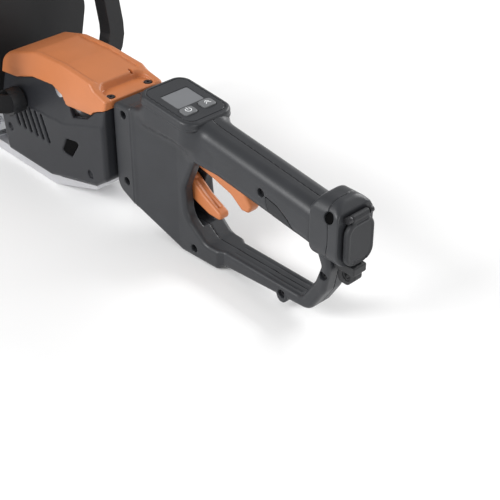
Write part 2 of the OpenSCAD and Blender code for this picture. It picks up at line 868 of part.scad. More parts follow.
module upper_blade() {
    color("#c3c5c8") in_frame() translate([0, 0, upper_z]) linear_extrude(blade_t) blade_plan();
}

module lower_blade() {
    color("#b7b9bc") in_frame() translate([0, 0, lower_z]) linear_extrude(blade_t) blade_plan();
}

module guide_bar() {
    color("#9fa1a4") in_frame() difference() {
        translate([0, 0, -77]) linear_extrude(bar_top + 77) difference() {
            translate([blade_end - 6, -12]) square([-136 - blade_end + 6, 24]);
            for (i = [0:bolt_count - 1]) translate([bolt_x(i), 0]) circle(bolt_r);
        }
        for (p = base_screw_places) if (p.y == 0) translate([p.x, 0, 0]) rod_z(2.6, -90, -60);
        translate([blade_end + 4, 0, 0]) rod_z(2.5, -90, -60);
    }
}

module blade_bolts() {
    color("#4a4b4e") in_frame() for (i = [0:bolt_count - 1]) translate([bolt_x(i), 0, 0]) {
        rod_z(bolt_r, -77, stack_top);
        rod_z(9, stack_top, stack_top + 1.6);
        rod_z(6.5, stack_top + 1.6, stack_top + 5.6, $fn = 6);
        rod_z(6.5, -81, -77, $fn = 6);
    }
}

module tip_guard() {
    color("#2f3033") in_frame() difference() {
        translate([0, 0, -80]) linear_extrude(20) polygon(outline([[blade_end - 2, -30, 4],
            [front_end + 8, -24, 12], [front_end, -11, 8], [front_end, 11, 8],
            [front_end + 8, 24, 12], [blade_end - 2, 30, 4]]));
        translate([blade_end - 6, -12, -77]) cube([20, 24, bar_top + 77]);
    }
}

// ------------------------------------------------------------------ front handle

bail_tilt = 12;
bail_foot = [-138, -8];
bail_bend = 40;

// Puts the front handle's own plane in place: local x across the tool, local y up the handle
module in_bail() {
    translate([bail_foot.x, 0, bail_foot.y]) rotate([0, -bail_tilt, 0]) rotate([90, 0, 90]) children();
}

bail_top = (bail_h - bail_foot.y) / cos(bail_tilt);

// Outline of the front handle's hoop at a distance from the line along its middle
module hoop(grow) {
    reach = bail_w / 2 + grow;
    polygon(outline([[-reach, -grow, bail_bend + grow], [reach, -grow, bail_bend + grow],
        [reach, bail_top + grow, bail_bend + grow], [-reach, bail_top + grow, bail_bend + grow]]));
}

module bail_hoop() {
    in_bail() difference() {
        translate([0, 0, -bail_d / 2]) linear_extrude(bail_d) difference() {
            hoop(bail_d / 2);
            hoop(-bail_d / 2);
        }
        // Open between the two clamps
        cube([housing_w + 12, 3 * bail_d, 2 * bail_d], center = true);
    }
}

module front_tube() color("#3a3b3e") in_frame() bail_hoop();

grip_half = 46;
post_x = 32;
post_r = 3;

module front_grip() {
    color("#2d2e31") in_frame() in_bail() translate([0, bail_top, 0]) difference() {
        union() {
            along(-grip_half, grip_half) round_rect(bail_d + 8, bail_d + 8, 9);
            translate([-grip_half, -20, -9]) cube([2 * grip_half, 20, 18]);
        }
        cube([4 * grip_half, bail_d, bail_d], center = true);
        // Pocket that the switch lever moves up into, and the seats of its two springs
        translate([-grip_half + 4, -21, -6.5]) cube([2 * grip_half - 8, 8.5, 13]);
        for (s = [-1, 1]) translate([s * post_x, 0, 0]) rod_y(5, -30, -9.5);
    }
}

module front_switch_lever() {
    color("#d68454") in_frame() in_bail() translate([0, bail_top, 0]) {
        translate([0, -26, 0]) rotate([0, 90, 90]) linear_extrude(7)
            round_rect(12, 2 * grip_half - 9, 5);
        for (s = [-1, 1]) translate([s * post_x, 0, 0]) rod_y(post_r, -20, -16);
    }
}

module lever_return_springs() {
    color("silver") in_frame() in_bail() translate([0, bail_top, 0]) for (s = [-1, 1])
        translate([s * post_x, 0, 0]) for (i = [0:1]) translate([0, -11.5 + 1.3 * i, 0])
            rotate([90, 0, 0]) rotate_extrude() translate([4.2, 0]) circle(0.5, $fn = 16);
}

module tube_clamps() {
    color("#3a3b3e") in_frame() for (s = [-1, 1]) difference() {
        translate([bail_foot.x, s * (housing_w / 2 + 7), bail_foot.y]) rod_y(13, -7, 7);
        bail_hoop();
    }
}

module hand_guard() {
    color("#4a4b4e") in_frame() difference() {
        intersection() {
            translate([-206, 0, 0]) rotate([0, -8, 0]) translate([0, -100, -52]) cube([4, 200, 180]);
            along(-260, -160) polygon(outline([[-70, -56, 14], [-98, 30, 30], [-84, 104, 30],
                [84, 104, 30], [98, 30, 30], [70, -56, 14]]));
        }
        // Opening over the nose of the housing and the blades
        along(-260, -160) polygon([[-38, -90], [-38, -30], [38, -30], [38, -90]]);
    }
    color("#4a4b4e") in_frame() for (s = [-1, 1]) difference() {
        translate([-209, s * (housing_w / 2 + 2) - 2, -32]) cube([57, 4, 18]);
        translate([guard_screw.x, 0, guard_screw.y]) rod_y(2.5, -60, 60);
    }
}

guard_screw = [-160, -23];

module guard_screws() {
    color("#2a2a2c") in_frame() for (s = [-1, 1])
            translate([guard_screw.x, s * (housing_w / 2 + 4), guard_screw.y]) {
        difference() {
            rod_y(4.6, s > 0 ? 0 : -2.6, s > 0 ? 2.6 : 0);
            rod_y(1.8, s > 0 ? 1.4 : -3, s > 0 ? 3 : -1.4, $fn = 6);
        }
        rod_y(2.5, s > 0 ? -4 : 0, s > 0 ? 0 : 4);
    }
}

handle_shell_left();
handle_shell_right();
pod_bezel();
display_window();
display_board();
power_button();
mode_button();
end_collar();
power_socket();
socket_contacts();
socket_cover();
cover_hinge_pin();
cable_hook();
grip_insert();
handle_screws();
throttle_trigger();
trigger_pin();
trigger_spring();
trigger_switch();
release_lever();
lever_pin();
lever_spring();
lock_pin();
lock_guide();
swivel_ring();
housing_left();
housing_right();
top_cover();
cover_screws();
base_plate();
base_screws();
stator_core();
stator_windings();
rotor_core();
rotor_magnets();
motor_shaft();
motor_bearings();
motor_fan();
end_shield();
controller_board();
gear_case();
gear_case_screws();
pinion();
drive_gear();
gear_shaft();
eccentrics();
gear_bearings();
grease_plug();
upper_blade();
lower_blade();
guide_bar();
blade_bolts();
tip_guard();
front_tube();
front_grip();
front_switch_lever();
lever_return_springs();
tube_clamps();
hand_guard();
guard_screws();
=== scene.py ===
import json
import math
import bpy
import numpy as np
from mathutils import Matrix, Vector


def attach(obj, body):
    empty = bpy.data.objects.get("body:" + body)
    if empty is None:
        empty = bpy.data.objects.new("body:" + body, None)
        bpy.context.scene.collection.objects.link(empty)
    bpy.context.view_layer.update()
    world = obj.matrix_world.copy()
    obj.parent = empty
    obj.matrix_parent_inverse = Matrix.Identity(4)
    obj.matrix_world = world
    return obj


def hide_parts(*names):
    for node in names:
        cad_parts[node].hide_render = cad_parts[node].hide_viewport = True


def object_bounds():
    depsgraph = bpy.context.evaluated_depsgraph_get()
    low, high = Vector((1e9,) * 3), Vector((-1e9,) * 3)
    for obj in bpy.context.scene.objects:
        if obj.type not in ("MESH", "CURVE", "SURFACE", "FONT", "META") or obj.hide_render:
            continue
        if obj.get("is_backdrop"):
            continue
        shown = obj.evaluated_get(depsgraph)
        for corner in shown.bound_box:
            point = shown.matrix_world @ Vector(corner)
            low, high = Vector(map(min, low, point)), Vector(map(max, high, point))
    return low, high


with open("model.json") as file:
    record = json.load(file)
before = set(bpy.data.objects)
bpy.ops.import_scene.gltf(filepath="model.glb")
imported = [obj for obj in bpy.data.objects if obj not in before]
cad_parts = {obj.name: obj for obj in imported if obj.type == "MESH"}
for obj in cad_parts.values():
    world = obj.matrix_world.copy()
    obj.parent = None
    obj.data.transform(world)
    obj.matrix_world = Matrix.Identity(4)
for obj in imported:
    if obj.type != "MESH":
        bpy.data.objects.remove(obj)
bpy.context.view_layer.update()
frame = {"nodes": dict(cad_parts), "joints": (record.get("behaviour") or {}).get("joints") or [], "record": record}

# The tool's own frame, in mm: x back from the swivel joint, y to the right, z up from its axis
ORIGIN = Vector(next(j for j in frame["joints"] if j["name"] == "handle_swivel")["pos_m"])


def place(x, y, z):
    return ORIGIN + Vector((x, y, z)) / 1000


# ------------------------------------------------------------------ camera and stage

LENS = 88.2
EYE = (794.4, -602.8, 547.7)
GAZE = (-0.6006, 0.5633, -0.5674)

camera = bpy.data.objects.new("camera", bpy.data.cameras.new("camera"))
bpy.context.scene.collection.objects.link(camera)
camera.data.lens = LENS
camera.data.sensor_width = 36
camera.data.clip_end = 30
camera.location = place(*EYE)
camera.rotation_euler = Vector(GAZE).to_track_quat("-Z", "Y").to_euler()
bpy.context.scene.camera = camera


def area_light(name, at, aim, size, power):
    lamp = bpy.data.lights.new(name, "AREA")
    lamp.shape = "RECTANGLE"
    lamp.size, lamp.size_y = size
    lamp.energy = power
    obj = bpy.data.objects.new(name, lamp)
    bpy.context.scene.collection.objects.link(obj)
    obj.location = at
    obj.rotation_euler = (Vector(aim) - Vector(at)).to_track_quat("-Z", "Y").to_euler()


area_light("key", (-0.3, -2.2, 1.5), (0.3, 0, 0.08), (1.5, 1.0), 58)
area_light("rim", (0.5, 2.0, 1.1), (0.35, 0, 0.1), (1.6, 0.7), 34)
area_light("rear", (2.6, -0.5, 0.7), (0.3, 0, 0.08), (1.2, 0.8), 12)

world = bpy.data.worlds.new("studio")
bpy.context.scene.world = world
world.use_nodes = True
world.node_tree.nodes["Background"].inputs["Color"].default_value = (1, 1, 1, 1)
world.node_tree.nodes["Background"].inputs["Strength"].default_value = 0.55
bpy.context.scene.view_settings.view_transform = "Standard"


# ------------------------------------------------------------------ materials

def plastic(name, colour, rough, grain=0.25, bump=0.12, scale=2200, metallic=0.0, streak=1.0, coat=0.0,
            shine=0.5):
    """Procedural finish: a broad noise varies the colour, a fine one the roughness and the surface."""
    mat = bpy.data.materials.new(name)
    mat.use_nodes = True
    nodes, links = mat.node_tree.nodes, mat.node_tree.links
    shader = nodes["Principled BSDF"]
    coord = nodes.new("ShaderNodeTexCoord")
    mapping = nodes.new("ShaderNodeMapping")
    mapping.inputs["Scale"].default_value = (1, streak, streak)
    links.new(coord.outputs["Object"], mapping.inputs["Vector"])
    broad = nodes.new("ShaderNodeTexNoise")
    broad.inputs["Scale"].default_value = scale / 60
    broad.inputs["Detail"].default_value = 5
    fine = nodes.new("ShaderNodeTexNoise")
    fine.inputs["Scale"].default_value = scale
    fine.inputs["Detail"].default_value = 2
    for noise in (broad, fine):
        links.new(mapping.outputs["Vector"], noise.inputs["Vector"])
    ramp = nodes.new("ShaderNodeValToRGB")
    low, high = 1 - 0.35 * grain, 1 + 0.35 * grain
    ramp.color_ramp.elements[0].position = 0.3
    ramp.color_ramp.elements[1].position = 0.7
    ramp.color_ramp.elements[0].color = [c * low for c in colour] + [1]
    ramp.color_ramp.elements[1].color = [min(1, c * high) for c in colour] + [1]
    links.new(broad.outputs["Fac"], ramp.inputs["Fac"])
    links.new(ramp.outputs["Color"], shader.inputs["Base Color"])
    spread = nodes.new("ShaderNodeMapRange")
    spread.inputs["To Min"].default_value = rough * 0.85
    spread.inputs["To Max"].default_value = min(1, rough * 1.15)
    links.new(fine.outputs["Fac"], spread.inputs["Value"])
    links.new(spread.outputs["Result"], shader.inputs["Roughness"])
    relief = nodes.new("ShaderNodeBump")
    relief.inputs["Strength"].default_value = bump
    relief.inputs["Distance"].default_value = 0.0004
    links.new(fine.outputs["Fac"], relief.inputs["Height"])
    links.new(relief.outputs["Normal"], shader.inputs["Normal"])
    shader.inputs["Metallic"].default_value = metallic
    shader.inputs["Coat Weight"].default_value = coat
    shader.inputs["Specular IOR Level"].default_value = shine
    return mat


FINISH = {
    "dark_shell": plastic("dark_shell", (0.027, 0.0285, 0.032), 0.38, shine=0.36),
    "housing_plastic": plastic("housing_plastic", (0.018, 0.019, 0.0225), 0.42, shine=0.28),
    "orange_plastic": plastic("orange_plastic", (0.48, 0.16, 0.055), 0.42, grain=0.12),
    "button_grey": plastic("button_grey", (0.13, 0.134, 0.14), 0.5, grain=0.12),
    "display_lens": plastic("display_lens", (0.15, 0.155, 0.165), 0.22, grain=0.08, bump=0.02, coat=0.4),
    "circuit_board": plastic("circuit_board", (0.02, 0.12, 0.07), 0.35, grain=0.6, scale=900),
    "soft_rubber": plastic("soft_rubber", (0.021, 0.022, 0.0245), 0.5, shine=0.3, bump=0.2, scale=1500),
    "black_plastic": plastic("black_plastic", (0.018, 0.0185, 0.02), 0.45, shine=0.32),
    "black_screw": plastic("black_screw", (0.035, 0.035, 0.038), 0.38, metallic=0.7),
    "bright_steel": plastic("bright_steel", (0.62, 0.62, 0.64), 0.26, grain=0.1, metallic=1),
    "gear_steel": plastic("gear_steel", (0.36, 0.36, 0.38), 0.34, grain=0.2, metallic=1),
    "cast_aluminium": plastic("cast_aluminium", (0.6, 0.6, 0.62), 0.42, grain=0.12, metallic=0.85,
                              scale=1500),
    "blade_steel": plastic("blade_steel", (0.6, 0.61, 0.63), 0.3, grain=0.14, metallic=1, streak=14,
                           scale=300),
    "copper_wire": plastic("copper_wire", (0.5, 0.19, 0.08), 0.3, metallic=1, scale=900),
    "magnet": plastic("magnet", (0.3, 0.3, 0.32), 0.35, metallic=1),
    "brass_part": plastic("brass_part", (0.62, 0.44, 0.16), 0.3, metallic=1),
}
# Matte near-black finish with almost no specular: the side plates' own colour, and painted shade in the handle's
# seam and at the bottom of the collar's screw hole
BLACK_AND_SHADE = plastic("black_and_shade", (0.002, 0.002, 0.0022), 0.8, shine=0.05)
ICON_WHITE = plastic("icon_white", (0.75, 0.76, 0.77), 0.5, grain=0.05)
FLOOR = plastic("floor", (0.93, 0.93, 0.93), 0.9, grain=0.01, bump=0.0, scale=60)

bpy.ops.mesh.primitive_plane_add(size=30, location=(0, 0, -0.0005))
floor = bpy.context.object
floor.name = "floor"
floor.data.materials.append(FLOOR)
floor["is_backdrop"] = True


# ------------------------------------------------------------------ shapes as distance fields

def outline(corners, steps=8):
    """Closed polygon through (x, z, radius) corners, each rounded."""
    points = []
    for i, (x, z, r) in enumerate(corners):
        here = np.array((x, z), float)
        if r == 0:
            points.append(here)
            continue
        u = np.array(corners[i - 1][:2]) - here
        w = np.array(corners[(i + 1) % len(corners)][:2]) - here
        u, w = u / np.linalg.norm(u), w / np.linalg.norm(w)
        half = math.acos(np.clip(u @ w, -1, 1)) / 2
        centre = here + (u + w) / np.linalg.norm(u + w) * r / math.sin(half)
        a, b = here + u * r / math.tan(half) - centre, here + w * r / math.tan(half) - centre
        start = math.atan2(a[1], a[0])
        turn = (math.atan2(b[1], b[0]) - start + 3 * math.pi) % (2 * math.pi) - math.pi
        for k in range(steps + 1):
            angle = start + turn * k / steps
            points.append(centre + r * np.array((math.cos(angle), math.sin(angle))))
    return [(float(p[0]), float(p[1])) for p in points]


def poly(points, x, z):
    """Distance to a closed polygon, negative inside."""
    best, inside = None, False
    for (ax, az), (bx, bz) in zip(points, points[1:] + points[:1]):
        ex, ez = bx - ax, bz - az
        if ex * ex + ez * ez < 1e-9:
            continue
        t = np.clip(((x - ax) * ex + (z - az) * ez) / (ex * ex + ez * ez), 0, 1)
        gap = (x - ax - ex * t) ** 2 + (z - az - ez * t) ** 2
        best = gap if best is None else np.minimum(best, gap)
        if ez:
            inside = inside ^ (((az > z) != (bz > z)) & (x < ax + ex * (z - az) / ez))
    return np.sqrt(best) * np.where(inside, -1, 1)


def join(a, b, k=0.0):
    """Union with a fillet of about k; both() and cut() are the same for what is shared and what is left."""
    if np.all(np.asarray(k) == 0):
        return np.minimum(a, b)
    h = np.clip(0.5 + 0.5 * (b - a) / k, 0, 1)
    return b * (1 - h) + a * h - k * h * (1 - h)


def both(a, b, k=0.0):
    return -join(-a, -b, k)


def cut(a, b, k=0.0):
    return both(a, -b, k)


def slab(flat, off, half, r):
    """Plate of a flat outline's distance and a half thickness, with rounded edges."""
    a, b = flat + r, np.abs(off) - half + r
    return np.minimum(np.maximum(a, b), 0) + np.hypot(np.maximum(a, 0), np.maximum(b, 0)) - r


def box2(u, v, half_u, half_v, r):
    """Rectangle with rounded corners."""
    a, b = np.abs(u) - half_u + r, np.abs(v) - half_v + r
    return np.minimum(np.maximum(a, b), 0) + np.hypot(np.maximum(a, 0), np.maximum(b, 0)) - r


def rod(u, v, along, r, low, high, edge=0.4):
    """Rod of radius r round the axis u = v = 0, from low to high."""
    return slab(np.hypot(u, v) - r, along - (low + high) / 2, (high - low) / 2, edge)


def wire(points, r, x, y, z):
    """Thin round tube along a chain of points."""
    best = None
    for a, b in zip(points, points[1:]):
        ex, ey, ez = (b[i] - a[i] for i in range(3))
        along = (x - a[0]) * ex + (y - a[1]) * ey + (z - a[2]) * ez
        t = np.clip(along / (ex * ex + ey * ey + ez * ez), 0, 1)
        gap = (x - a[0] - ex * t) ** 2 + (y - a[1] - ey * t) ** 2 + (z - a[2] - ez * t) ** 2
        best = gap if best is None else np.minimum(best, gap)
    return np.sqrt(best) - r


def tilted(x, z, at, degrees):
    """Coordinates along and above a line through at, tilted down towards +x."""
    c, s = math.cos(math.radians(degrees)), math.sin(math.radians(degrees))
    return (x - at[0]) * c - (z - at[1]) * s, (x - at[0]) * s + (z - at[1]) * c


def solid(field, low, high, step):
    """Vertices and quads of the zero surface of a distance field, by surface nets."""
    n = [int(math.ceil((high[i] - low[i]) / step)) + 1 for i in range(3)]
    axes = [low[i] + step * np.arange(n[i]) for i in range(3)]
    grid = np.meshgrid(*axes, indexing="ij", sparse=True)
    f = np.array(np.broadcast_to(field(*grid), n), np.float32)
    total = np.zeros([k - 1 for k in n] + [3], np.float32)
    count = np.zeros([k - 1 for k in n], np.float32)
    crossings = []
    for ax in range(3):
        u, v = (ax + 1) % 3, (ax + 2) % 3
        lo, hi = [slice(None)] * 3, [slice(None)] * 3
        lo[ax], hi[ax] = slice(0, -1), slice(1, None)
        a, b = f[tuple(lo)], f[tuple(hi)]
        cross = (a < 0) != (b < 0)
        t = np.where(cross, a / np.where(cross, a - b, 1), 0)
        crossings.append((ax, u, v, cross, a < 0))
        for du in (0, 1):
            for dv in (0, 1):
                part = [slice(None)] * 3
                part[u], part[v] = slice(du, n[u] - 1 + du), slice(dv, n[v] - 1 + dv)
                c = cross[tuple(part)]
                count += c
                total[..., ax] += t[tuple(part)]
                total[..., u] += du * c
                total[..., v] += dv * c
    used = count > 0
    index = np.full(used.shape, -1, np.int64)
    index[used] = np.arange(int(used.sum()))
    points = (np.argwhere(used) + total[used] / count[used][:, None]) * step + np.array(low)
    quads = []
    for ax, u, v, cross, inner in crossings:
        edge = np.argwhere(cross)
        keep = (edge[:, u] > 0) & (edge[:, v] > 0) & (edge[:, u] < n[u] - 1) & (edge[:, v] < n[v] - 1)
        edge = edge[keep]
        ring = []
        for du, dv in ((1, 1), (0, 1), (0, 0), (1, 0)):
            cell = edge.copy()
            cell[:, u] -= du
            cell[:, v] -= dv
            ring.append(index[cell[:, 0], cell[:, 1], cell[:, 2]])
        ring = np.stack(ring, 1)
        outward = inner[edge[:, 0], edge[:, 1], edge[:, 2]]
        quads.append(np.where(outward[:, None], ring, ring[:, ::-1]))
    h = 0.2 * step
    for _ in range(2):
        x, y, z = points.T
        d = field(x, y, z)
        g = np.stack([field(x + h, y, z) - field(x - h, y, z), field(x, y + h, z) - field(x, y - h, z),
                      field(x, y, z + h) - field(x, y, z - h)], 1) / (2 * h)
        shift = d[:, None] * g / np.maximum((g * g).sum(1, keepdims=True), 0.25)
        size = np.linalg.norm(shift, axis=1, keepdims=True)
        points = points - shift * np.minimum(1, 0.6 * step / np.maximum(size, 1e-9))
    return points, np.concatenate(quads)


def piece(name, points, faces, slot, body, replaced=(), finish=None, smooth=50):
    """A shown mesh from points in the tool's frame, in mm."""
    mesh = bpy.data.meshes.new(name)
    co = np.asarray(points, float) / 1000 + np.array(ORIGIN)
    mesh.from_pydata(co.tolist(), [], [list(map(int, q)) for q in faces])
    mesh.validate()
    mesh.polygons.foreach_set("use_smooth", [True] * len(mesh.polygons))
    mesh.set_sharp_from_angle(angle=math.radians(smooth))
    mesh.materials.append(finish or FINISH[slot])
    obj = bpy.data.objects.new(name, mesh)
    bpy.context.scene.collection.objects.link(obj)
    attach(obj, body)
    if replaced:
        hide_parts(*replaced)


def sculpt(name, field, low, high, step, slot, body, replaced=(), finish=None):
    """A shown mesh of a distance field inside the box from low to high."""
    points, faces = solid(field, low, high, step)
    piece(name, points, faces, slot, body, replaced, finish)


# ------------------------------------------------------------------ rear handle

LOOP = outline([(0.4, 38, 6), (0.4, -50, 14), (80, -87, 10), (125, -86.5, 3), (131, -82, 6), (236, -73.5, 14),
                (252, -47, 16), (257, -20, 8), (252, 6, 0), (180, 14, 0), (100, 40, 4),
                (40, 44, 8), (18, 39, 12)])
HAND = outline([(100, 14, 6), (85, -20, 18), (88, -48, 18), (112, -66.5, 14), (226, -64, 8), (241, -40, 20),
                (247, -22, 7), (236, 2, 6)])
SCREWS = [(15.5, 30, 22), (15.5, -38.5, 22), (97, -77, 13), (204, -72.5, 12), (183, 21, 16), (250, -30, 11)]
GRIP_MID, GRIP_TILT = (177, 24), 7
POD_AT, POD_TILT = (70, 50), 5


def handle_width(x):
    return np.interp(x, [0, 24, 30, 78, 118, 126, 132, 250], [27.2, 27, 25.5, 18.5, 17, 16.5, 13, 12.5])


def handle_body(x, y, z):
    flat = cut(poly(LOOP, x, z), poly(HAND, x, z), 2)
    shape = slab(flat, y, handle_width(x), 4)
    u, v = tilted(x, z, GRIP_MID, GRIP_TILT)
    drop = np.interp(x, [84, 120, 180, 232, 250], [1.5, 3, 3.2, 3.6, 4.5])
    grip = slab(box2(y, v + drop, 18, 19.6, 12.5), u + 10, 75, 3)
    shape = join(shape, grip, np.interp(x, [104, 128, 214, 232], [8, 1, 1, 6]))
    # Pedestal that carries the display pod
    pu, pw = tilted(x, z, POD_AT, POD_TILT)
    foot = slab(box2(pu, y, 33.5, 25, 12), pw + 9, 9.5, 3)
    shape = join(shape, foot, 13)
    shape = both(shape, pw + 1.2 - 40 * (np.abs(pu) > 35.5), 0.8)
    # Boss under the bar
    shape = join(shape, rod(x - 204, z + 75, y, 6, -13, 13, 1), 1.5)
    return shape


def handle_cuts(x, y, z, shape):
    # Slots of the trigger and the lever
    shape = cut(shape, slab(box2(x - 120, z - 9, 43, 25, 3), y, 7.4, 1), 0.8)
    shape = cut(shape, slab(box2(x - 80, z + 33, 20, 24, 3), y, 7.4, 1), 0.8)
    # Recess and ribs in the underside of the loop's front section
    drop = join(np.hypot(x - 97, y) - 7, np.hypot(x - 108, y) - 4, 5)
    shape = cut(shape, both(drop, z + 82), 0.8)
    for s in (-1, 1):
        shape = cut(shape, wire([(140, s * 6, -65.4), (222, s * 6, -64.2)], 0.7, x, y, z), 0.3)
    # Band round the front of the bell
    shape = cut(shape, np.maximum(np.abs(x - 25) - 0.5, -(shape + 0.5)), 0.5)
    return shape


def handle_half(side):
    def field(x, y, z):
        shape = handle_cuts(x, y, z, handle_body(x, y, z))
        for sx, sz, half in SCREWS:
            if side < 0:
                head = rod(x - sx, z - sz, y, 3.9, -40, -half + 5, 0.2)
                shape = cut(shape, head, 0.7)
        leaf = both(poly(LEAF, x, z), -(handle_body(x, y, z) + 2.2))
        shape = cut(shape, leaf - 0.3, 0.4)
        return both(shape, 0.14 - side * y, 0.7)
    return field


def handle_seam_shade(x, y, z):
    """Matte near-black strip just under the surface, between the two halves: painted shade in the seam."""
    shape = handle_cuts(x, y, z, handle_body(x, y, z))
    return np.maximum(np.maximum(shape + 0.3, -(shape + 1.6)), np.abs(y) - 0.4)


# Painted shade: a matte near-black strip inside the seam between the handle halves
sculpt("handle_seam_shade", handle_seam_shade, (-1, -1, -90), (262, 1, 62), 0.45, "dark_shell", "rear_handle",
       finish=BLACK_AND_SHADE)

LEAF = outline([(188, 20, 1), (203, 16.5, 12), (216, 8, 12), (227, -8, 0), (227, -16, 0), (194, -16, 0),
                (193, 3, 6)])


def leaf_insert(x, y, z):
    skin = handle_body(x, y, z)
    return both(both(skin - 0.1, poly(LEAF, x, z) + 0.3, 0.6), -(skin + 1.9))


sculpt("grip_leaf", leaf_insert, (186, -20, -9), (229, 20, 23), 0.6, "soft_rubber", "rear_handle",
       ["grip_insert"])

for side, label in ((-1, "left"), (1, "right")):
    y0, y1 = (-29, 1) if side < 0 else (-1, 29)
    sculpt("handle_half_" + label, handle_half(side), (-1, y0, -89), (262, y1, 62), 1.0,
           "dark_shell", "rear_handle", ["handle_shell_" + label])


BUTTON_U, BUTTON_V = 16, 10.5


def pod(x, y, z):
    u, w = tilted(x, z, POD_AT, POD_TILT)
    outer = slab(box2(u, y, 36, 27, 13), w - 2.75, 4.25, 3.2)
    lip = slab(box2(u, y, 36.4, 27.4, 13.2), w + 0.2, 1.1, 0.8)
    shape = join(outer, lip, 0.8)
    shape = cut(shape, np.abs(box2(u, y, 31.5, 22.5, 9.5)) - 0.45 + 20 * (w < 6.2), 0.3)
    shape = cut(shape, slab(box2(u + 4, y, 12.15, 15.15, 2), w - 9, 4.4, 0.3), 0.3)
    for s in (-1, 1):
        shape = cut(shape, slab(box2(u - BUTTON_U, y - s * BUTTON_V, 6.0, 7.5, 3.2), w - 9, 4.5, 0.4), 0.3)
    return shape


sculpt("display_pod", pod, (32, -29, 40), (108, 29, 63), 0.6, "dark_shell", "rear_handle", ["pod_bezel"])


def button(sign):
    def field(x, y, z):
        u, w = tilted(x, z, POD_AT, POD_TILT)
        du, dv = u - BUTTON_U, y - sign * BUTTON_V
        dome = 8.7 - 0.012 * (du ** 2 + dv ** 2)
        return both(slab(box2(du, dv, 5.5, 7, 2.8), w - 6, 3, 1.4), w - dome, 0.5)
    return field


for sign, label in ((-1, "power"), (1, "mode")):
    low, high = (76, sign * BUTTON_V - 9, 46), (96, sign * BUTTON_V + 9, 62)
    sculpt(label + "_key", button(sign), low, high, 0.4, "button_grey", label + "_button", [label + "_button"])


def on_pod(u, v, w):
    """Point of the tool's frame from one along, across and above the pod."""
    c, s = math.cos(math.radians(POD_TILT)), math.sin(math.radians(POD_TILT))
    return (POD_AT[0] + u * c + w * s, v, POD_AT[1] - u * s + w * c)


ICON_TOP, ICON_THICK, ICON_WIDTH = 8.72, 0.16, 0.75


def ribbon(name, path, side_of_pod, body):
    """Thin printed line on top of a button, along a path in the pod's plane."""
    path = np.array(path, float)
    ahead = np.gradient(path, axis=0)
    ahead /= np.linalg.norm(ahead, axis=1, keepdims=True)
    across = np.stack([-ahead[:, 1], ahead[:, 0]], 1) * ICON_WIDTH / 2
    points, faces = [], []
    for p, q in zip(path, across):
        for side in (-1, 1):
            u, v = BUTTON_U + p[0] + side * q[0], side_of_pod * BUTTON_V + p[1] + side * q[1]
            for lift in (-ICON_THICK, 0):
                points.append(on_pod(u, v, ICON_TOP + lift))
    for i in range(len(path) - 1):
        a, b = 4 * i, 4 * i + 4
        faces += [(a + 1, b + 1, b + 3, a + 3), (a, a + 2, b + 2, b),
                  (a, b, b + 1, a + 1), (a + 2, a + 3, b + 3, b + 2)]
    faces += [(0, 1, 3, 2), (len(points) - 4, len(points) - 2, len(points) - 1, len(points) - 3)]
    piece(name, points, faces, "button_grey", body, finish=ICON_WHITE, smooth=30)


RING_R = 2.7
turns = [math.radians(a) for a in range(-140, 141, 10)]
ribbon("power_icon_ring", [(RING_R * math.cos(a), RING_R * math.sin(a)) for a in turns], -1, "power_button")
ribbon("power_icon_bar", [(-0.2, 0), (-1.8, 0), (-3.4, 0)], -1, "power_button")
ribbon("mode_icon_low", [(2.2, -2.8), (-0.2, 0), (2.2, 2.8)], 1, "mode_button")
ribbon("mode_icon_high", [(-0.2, -2.4), (-2.4, 0), (-0.2, 2.4)], 1, "mode_button")


# ------------------------------------------------------------------ end collar, cover and hook

COLLAR = outline([(240.5, 37, 0), (245, 46.5, 6), (263, 46.5, 5), (270, 39, 3), (272, 31, 3), (272, -12, 2),
                  (256, -12.5, 2), (240.5, -10, 2)])


SCREW_X = 261


def screw_hole(y, z):
    """Coordinates across and into the screw hole, high on the collar's left."""
    across, up = y + 19, z - 34
    return 0.43 * across + 0.9 * up, 0.9 * across - 0.43 * up


def collar(x, y, z):
    ring = slab(box2(y, z - 17, 21.5, 29.5, 18), x - 256.2, 15.8, 1)
    shape = both(ring, slab(poly(COLLAR, x, z), y, 21.5, 2), 3)
    off, deep = screw_hole(y, z)
    shape = cut(shape, rod(x - SCREW_X, off, deep, 4.9, -30, 4.5, 0.3), 1)
    # Seam of the end cap, bowed forward
    seam = np.abs(x - 263 + 0.006 * (z - 17) ** 2 + 0.004 * y ** 2) - 0.35
    shape = cut(shape, np.maximum(seam, -(shape + 0.8)), 0.4)
    shape = cut(shape, rod(y, z - 12, x, 12.6, 251, 290, 0.2), 0.6)
    return shape


sculpt("handle_collar", collar, (239, -23, -14), (274, 23, 48), 0.7, "dark_shell", "rear_handle",
       ["end_collar"])


def collar_hole_shade(x, y, z):
    """Matte near-black plug at the bottom of the screw hole: painted shade deep in the hole."""
    off, deep = screw_hole(y, z)
    return rod(x - SCREW_X, off, deep, 4.8, 1.2, 5.2, 0.2)


# Painted shade: a matte near-black plug at the bottom of the collar's screw hole
sculpt("collar_hole_shade", collar_hole_shade, (254, -26, 24), (268, -9, 44), 0.5, "black_plastic", "rear_handle",
       finish=BLACK_AND_SHADE)


